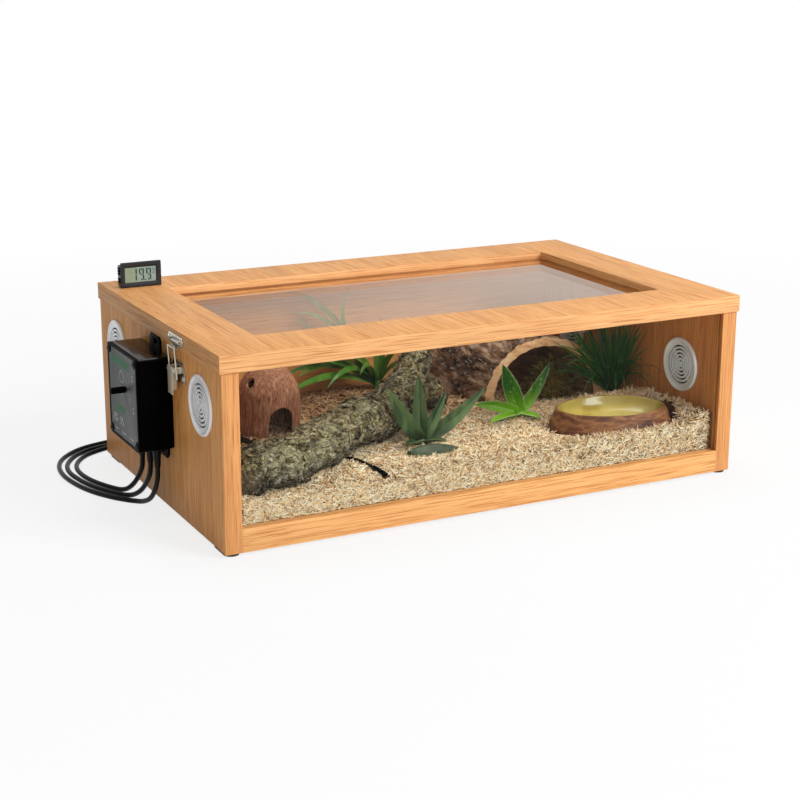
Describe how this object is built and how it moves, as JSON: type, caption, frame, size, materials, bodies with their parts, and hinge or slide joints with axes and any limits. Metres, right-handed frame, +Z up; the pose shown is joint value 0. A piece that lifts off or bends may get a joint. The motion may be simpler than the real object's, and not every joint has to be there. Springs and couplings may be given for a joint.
{
  "type": "terrarium cabinet",
  "caption": "Low wooden terrarium cabinet with a glass front, a hinged lid with a glass pane, vents, toggle latches, a wall thermostat with leads, a thermometer, and a furnished bed.",
  "frame": {"origin": "on the ground under the middle of the lid", "axes": "+Z up, -Y towards the glass front, +X along the width towards the wall with no thermostat"},
  "size_m": [0.6903, 0.5605, 0.232],
  "materials": {
    "oak_veneer_side": "satin, vertical grain",
    "oak_veneer_light": "satin, straight and arched grain",
    "beech": "bare",
    "clear_glass": "polished",
    "dark_rubber": "matte",
    "grey_plastic": "satin",
    "wood_chip": "loose curled fibres",
    "glazed_stone": "glazed inside, rough outside",
    "coconut_shell": "rough, fibrous",
    "mossy_bark": "rough, with lichen",
    "cork_bark": "rough bark with a paler cut edge",
    "leaf": "satin",
    "leaf_light": "satin",
    "dry_moss": "loose",
    "black_plastic": "satin",
    "fascia_plastic": "satin, printed scale",
    "circuit_board": "solder resist",
    "nickel_steel": "nickel plated",
    "display": "liquid crystal",
    "cable_rubber": "satin"
  },
  "bodies": {
    "cabinet": {"left_side_panel": "oak_veneer_side", "right_side_panel": "oak_veneer_side", "back_panel": "oak_veneer_side", "floor_panel": "oak_veneer_side", "front_rail": "oak_veneer_light", "front_glass": "clear_glass", "joint_dowels": "beech", "feet": "dark_rubber", "vent_grilles": "grey_plastic", "vent_liners": "grey_plastic", "cable_grommet": "dark_rubber", "substrate_bed": "wood_chip", "water_dish": "glazed_stone", "coconut_hide": "coconut_shell", "cork_log": "mossy_bark", "cork_arch": "cork_bark", "spider_plant": "leaf", "aloe_front": "leaf", "aloe_middle": "leaf_light", "grass_plant": "leaf", "moss_clump": "dry_moss", "thermostat_bracket": "black_plastic", "thermostat_case": "black_plastic", "thermostat_cover": "fascia_plastic", "thermostat_circuit_board": "circuit_board", "cover_screws": "nickel_steel", "mains_strain_relief": "cable_rubber", "heater_strain_relief": "cable_rubber", "sensor_strain_relief": "cable_rubber", "cabinet_screws": "nickel_steel", "latch_base_left": "nickel_steel", "latch_base_right": "nickel_steel", "hinge_lower_left": "nickel_steel", "hinge_lower_right": "nickel_steel", "mains_lead": "cable_rubber", "mains_lead_coil": "cable_rubber", "mains_lead_tail": "cable_rubber", "mains_plug": "black_plastic", "heater_lead": "cable_rubber", "sensor_lead": "cable_rubber", "inner_heater_lead": "cable_rubber", "inner_connector": "black_plastic", "inner_probe_lead": "cable_rubber", "sensor_probe": "black_plastic"},
    "lid": {"latch_keeper_left": "nickel_steel", "latch_keeper_right": "nickel_steel", "hinge_upper_left": "nickel_steel", "hinge_upper_right": "nickel_steel", "lid_board": "oak_veneer_light", "lid_glass": "clear_glass", "glazing_beads": "oak_veneer_light", "lid_screws": "nickel_steel", "thermometer_body": "black_plastic", "thermometer_display": "display"},
    "thermostat_knob": {"thermostat_knob": "black_plastic"},
    "latch_lever_left": {"latch_lever_left": "nickel_steel"},
    "latch_lever_right": {"latch_lever_right": "nickel_steel"},
    "latch_bail_left": {"latch_bail_left": "nickel_steel"},
    "latch_bail_right": {"latch_bail_right": "nickel_steel"}
  },
  "joints": [
    {"name": "lid_hinge", "type": "hinge", "parent": "cabinet", "child": "lid", "pos_m": [0, 0.1931, 0.1855], "axis": [-1, 0, 0], "range_deg": [0, 105]},
    {"name": "thermostat_knob_turn", "type": "hinge", "parent": "cabinet", "child": "thermostat_knob", "pos_m": [-0.341, -0.01, 0.1315], "axis": [-1, 0, 0], "range_deg": [-135, 135]},
    {"name": "latch_lever_left_pivot", "type": "hinge", "parent": "cabinet", "child": "latch_lever_left", "pos_m": [-0.31, -0.071, 0.1635], "axis": [0, 1, 0], "range_deg": [0, 150]},
    {"name": "latch_lever_right_pivot", "type": "hinge", "parent": "cabinet", "child": "latch_lever_right", "pos_m": [0.31, -0.071, 0.1635], "axis": [0, -1, 0], "range_deg": [0, 150]},
    {"name": "latch_bail_left_pivot", "type": "hinge", "parent": "latch_lever_left", "child": "latch_bail_left", "pos_m": [-0.309, -0.071, 0.1555], "axis": [0, 1, 0], "range_deg": [-180, 0]},
    {"name": "latch_bail_right_pivot", "type": "hinge", "parent": "latch_lever_right", "child": "latch_bail_right", "pos_m": [0.309, -0.071, 0.1555], "axis": [0, -1, 0], "range_deg": [-180, 0]}
  ],
  "couplings": [
    {"joint": "latch_bail_left_pivot", "follows": "latch_lever_left_pivot", "ratio": -1.2},
    {"joint": "latch_bail_right_pivot", "follows": "latch_lever_right_pivot", "ratio": -1.2}
  ]
}
